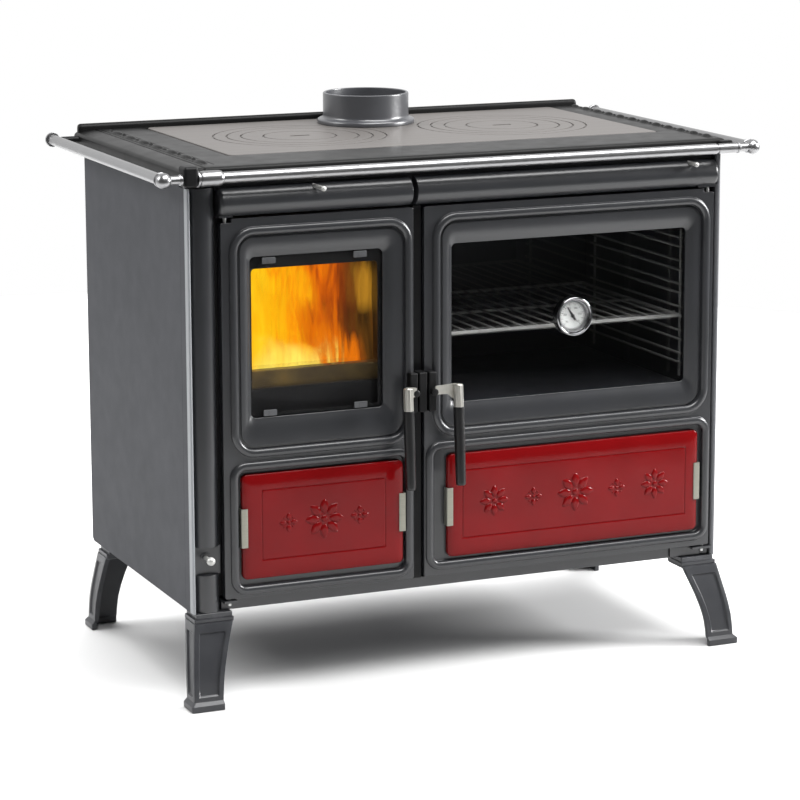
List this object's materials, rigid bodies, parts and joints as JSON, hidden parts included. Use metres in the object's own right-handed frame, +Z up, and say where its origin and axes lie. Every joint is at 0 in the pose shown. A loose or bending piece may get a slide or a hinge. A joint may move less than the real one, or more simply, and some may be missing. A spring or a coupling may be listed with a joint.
{
  "type": "wood cookstove",
  "caption": "Wood-burning cookstove on splayed cast legs, with glazed fire and oven doors, red tiles, cast hob with flue collar and a towel rail round the hob.",
  "frame": {"origin": "middle of the footprint, on the floor", "axes": "+Z up, +X to the viewer's right when facing the doors, -Y out of the front"},
  "size_m": [1.067, 0.6257, 0.923],
  "materials": {
    "casing_grey": "satin dark grey paint",
    "cast_front": "painted dark grey cast iron, fine sand texture",
    "hob_iron": "ground bright cast iron",
    "black_iron": "matt black",
    "inner_steel": "heat-proof black, matt",
    "oven_enamel": "dark enamel",
    "chrome": "polished chrome plate",
    "clip_steel": "bare spring steel",
    "red_tile": "deep red gloss glaze",
    "firebrick": "pressed refractory brick",
    "glass": "clear heat-proof glass",
    "rope_seal": "braided glass-fibre rope",
    "grip_black": "matt black heat-proof plastic",
    "dial_white": "white printed dial, plain numbers",
    "pointer_black": "black paint",
    "zinc_bolt": "zinc plated"
  },
  "bodies": {
    "stove": {"ash_drawer": "inner_steel", "back_panel": "casing_grey", "base_plate": "casing_grey", "centre_post": "black_iron", "column_left": "cast_front", "column_right": "cast_front", "fire_grate": "black_iron", "firebox_shell": "inner_steel", "firebricks": "firebrick", "flue_collar": "cast_front", "front_sill": "cast_front", "front_top_beam": "cast_front", "hinge_brackets": "cast_front", "hinge_pins": "zinc_bolt", "hob_frame": "cast_front", "hob_plate": "hob_iron", "latch_keeper": "black_iron", "leg_back_left": "cast_front", "leg_back_right": "cast_front", "leg_bolts": "zinc_bolt", "leg_front_left": "cast_front", "leg_front_right": "cast_front", "log_guard": "black_iron", "oven_box": "oven_enamel", "oven_rack": "chrome", "oven_rack_guides": "chrome", "rail_brackets": "black_iron", "rail_fittings": "chrome", "side_panel_left": "casing_grey", "side_panel_right": "casing_grey", "smoke_baffle": "inner_steel", "top_moulding_left": "cast_front", "top_moulding_right": "cast_front", "towel_rail_front": "chrome", "towel_rail_left": "chrome", "towel_rail_right": "chrome"},
    "fire_door": {"fire_door_frame": "cast_front", "fire_door_glass": "glass", "fire_door_seal": "rope_seal", "fire_glass_clips": "clip_steel", "fire_tile": "red_tile", "fire_tile_clips": "clip_steel", "fire_latch_housing": "black_iron"},
    "fire_handle": {"fire_handle_lever": "clip_steel", "fire_handle_grip": "grip_black"},
    "oven_door": {"oven_door_frame": "cast_front", "oven_door_glass": "glass", "oven_door_seal": "rope_seal", "oven_tile": "red_tile", "oven_tile_clips": "clip_steel", "oven_latch_housing": "black_iron", "thermometer_case": "chrome", "thermometer_dial": "dial_white", "thermometer_lens": "glass"},
    "oven_handle": {"oven_handle_lever": "clip_steel", "oven_handle_grip": "grip_black"},
    "pointer": {"thermometer_pointer": "pointer_black"},
    "secondary_air": {"secondary_air_rod": "clip_steel"},
    "damper": {"smoke_damper": "clip_steel"},
    "primary_air": {"primary_air_rod": "clip_steel"}
  },
  "joints": [
    {"name": "fire_door_hinge", "type": "hinge", "parent": "stove", "child": "fire_door", "pos_m": [-0.412, -0.25315, 0.476], "axis": [0, 0, -1], "range_deg": [0, 100]},
    {"name": "fire_handle_turn", "type": "hinge", "parent": "fire_door", "child": "fire_handle", "pos_m": [-0.0975, -0.26415, 0.484], "axis": [0, 1, 0], "range_deg": [0, 50]},
    {"name": "oven_door_hinge", "type": "hinge", "parent": "stove", "child": "oven_door", "pos_m": [0.452, -0.25315, 0.476], "axis": [0, 0, 1], "range_deg": [0, 100]},
    {"name": "oven_handle_turn", "type": "hinge", "parent": "oven_door", "child": "oven_handle", "pos_m": [-0.0645, -0.26415, 0.484], "axis": [0, -1, 0], "range_deg": [0, 50]},
    {"name": "thermometer_turn", "type": "hinge", "parent": "oven_door", "child": "pointer", "pos_m": [0.198, -0.25915, 0.586], "axis": [0, 1, 0], "range_deg": [-102, 168]},
    {"name": "secondary_air_slide", "type": "slide", "parent": "stove", "child": "secondary_air", "axis": [0, -1, 0], "range_m": [-0.02, 0]},
    {"name": "damper_slide", "type": "slide", "parent": "stove", "child": "damper", "axis": [0, -1, 0], "range_m": [0, 0.05]},
    {"name": "primary_air_slide", "type": "slide", "parent": "stove", "child": "primary_air", "axis": [0, -1, 0], "range_m": [0, 0.022]}
  ]
}
